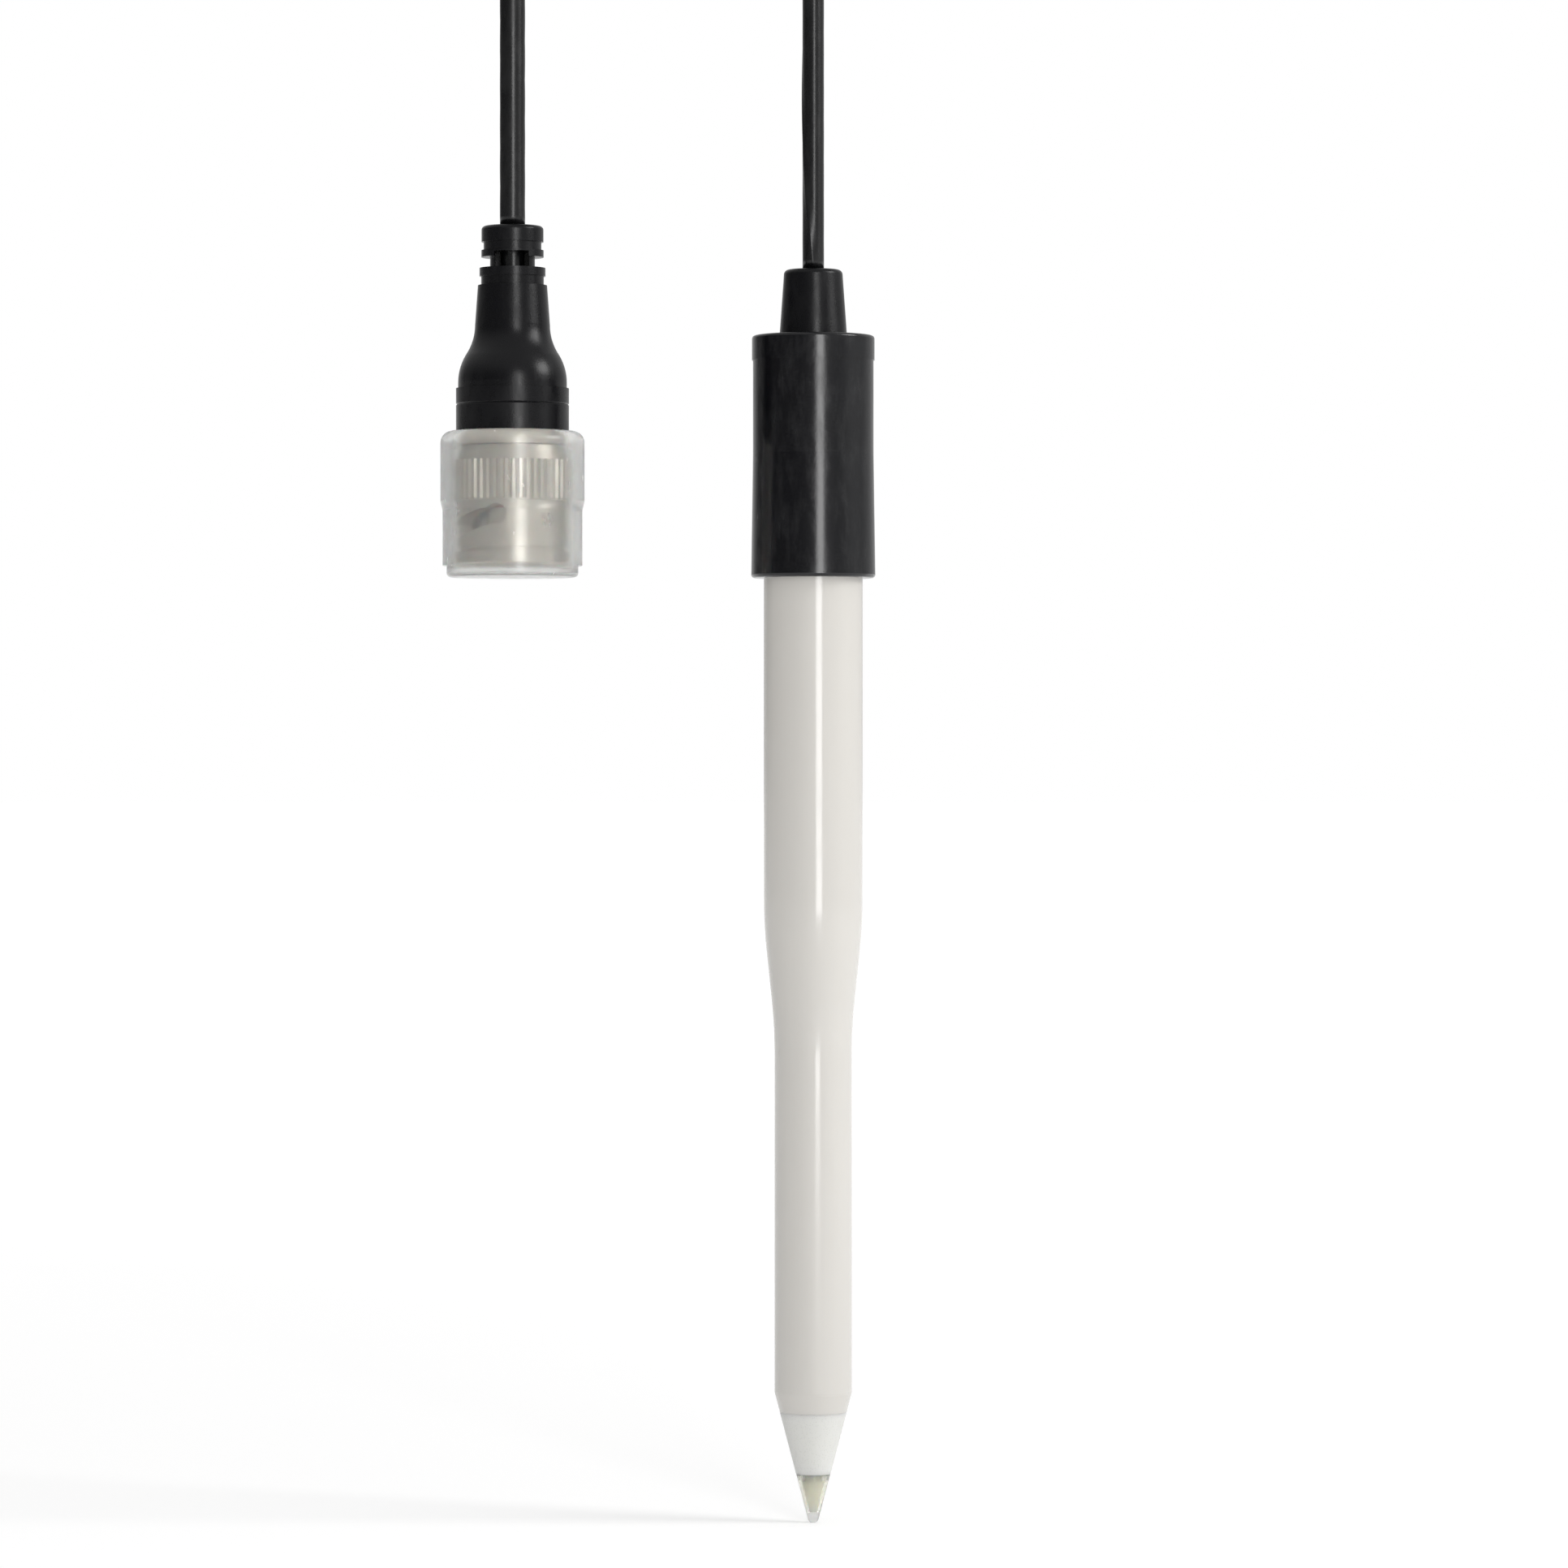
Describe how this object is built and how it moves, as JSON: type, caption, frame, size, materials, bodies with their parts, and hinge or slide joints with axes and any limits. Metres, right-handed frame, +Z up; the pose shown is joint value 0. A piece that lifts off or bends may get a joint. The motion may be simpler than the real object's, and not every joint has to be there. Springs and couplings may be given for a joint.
{
  "type": "water quality probe",
  "caption": "Pencil-shaped pH electrode with a spear tip, a black cap, a two-metre lead and a bayonet plug under a push-on cover.",
  "frame": {"origin": "the hang point: the inside of the coil at its top, midway between the two hanging leads", "axes": "+Z up, +X to the probe's side, front faces -Y; probe and plug hang with their axes along Z"},
  "size_m": [0.0528, 0.0235, 0.2371],
  "materials": {
    "barrel_white": "glossy white moulded plastic",
    "junction_white": "milky porous plastic",
    "sensing_glass": "pale yellow-green glass",
    "stem_glass": "clear glass",
    "silver": "drawn silver wire",
    "silicone": "translucent silicone",
    "frit": "porous ceramic",
    "epoxy": "cast epoxy",
    "black_cap": "black satin moulded plastic",
    "black_rubber": "black soft moulded plastic",
    "black_cord": "black extruded jacket",
    "copper": "bare copper",
    "core_clear": "milky core insulation",
    "heat_shrink": "shrunk sleeve",
    "nickel": "nickel plate, fine turned",
    "gold": "gold plate",
    "ptfe": "white insulator",
    "gasket_rubber": "red-brown rubber",
    "spring_steel": "spring steel",
    "cover_clear": "frosted translucent plastic",
    "tie_black": "black tie"
  },
  "bodies": {
    "root": {"glass_tip": "sensing_glass", "stem_tube": "stem_glass", "junction_cone": "junction_white", "stem_seal": "silicone", "measuring_wire": "silver", "stem_plug": "silicone", "barrel": "barrel_white", "cap_o_ring": "silicone", "reference_tube": "stem_glass", "inner_junction": "frit", "reference_wire": "silver", "potting_plug": "epoxy", "cap_sleeve": "black_cap", "cord_grip": "black_rubber", "lead_end": "black_cord", "crimp_ferrule": "nickel", "measuring_core": "core_clear", "core_splice": "heat_shrink", "shield_splice": "heat_shrink", "shield_pigtail": "copper", "plug_boot": "black_rubber", "rear_body": "nickel", "plug_body": "nickel", "contact_sleeve": "nickel", "insulator": "ptfe", "centre_pin": "gold", "gasket": "gasket_rubber", "thrust_washer": "spring_steel", "plug_lead_end": "black_cord", "plug_core": "core_clear", "shield_braid": "copper", "plug_crimp": "nickel", "lead_coil": "black_cord", "coil_tie_right": "tie_black", "coil_tie_left": "tie_black", "probe_lead": "black_cord", "plug_lead": "black_cord"},
    "nut_thrust": {"wave_spring": "spring_steel"},
    "nut": {"coupling_nut": "nickel"},
    "cover": {"plug_cover": "cover_clear"}
  },
  "joints": [
    {"name": "nut_thrust", "type": "slide", "parent": "root", "child": "nut_thrust", "axis": [0, 0, -1], "range_m": [0, 0.0011], "stiffness_N_per_m": 1200, "springref_m": -0.0005, "deforming": ["wave_spring"]},
    {"name": "nut_turn", "type": "hinge", "parent": "nut_thrust", "child": "nut", "pos_m": [-0.01825, 0, -0.1011], "axis": [0, 0, -1], "continuous": true},
    {"name": "cover_pull", "type": "slide", "parent": "nut", "child": "cover", "axis": [0, 0, -1], "range_m": [0, 0.03]}
  ]
}
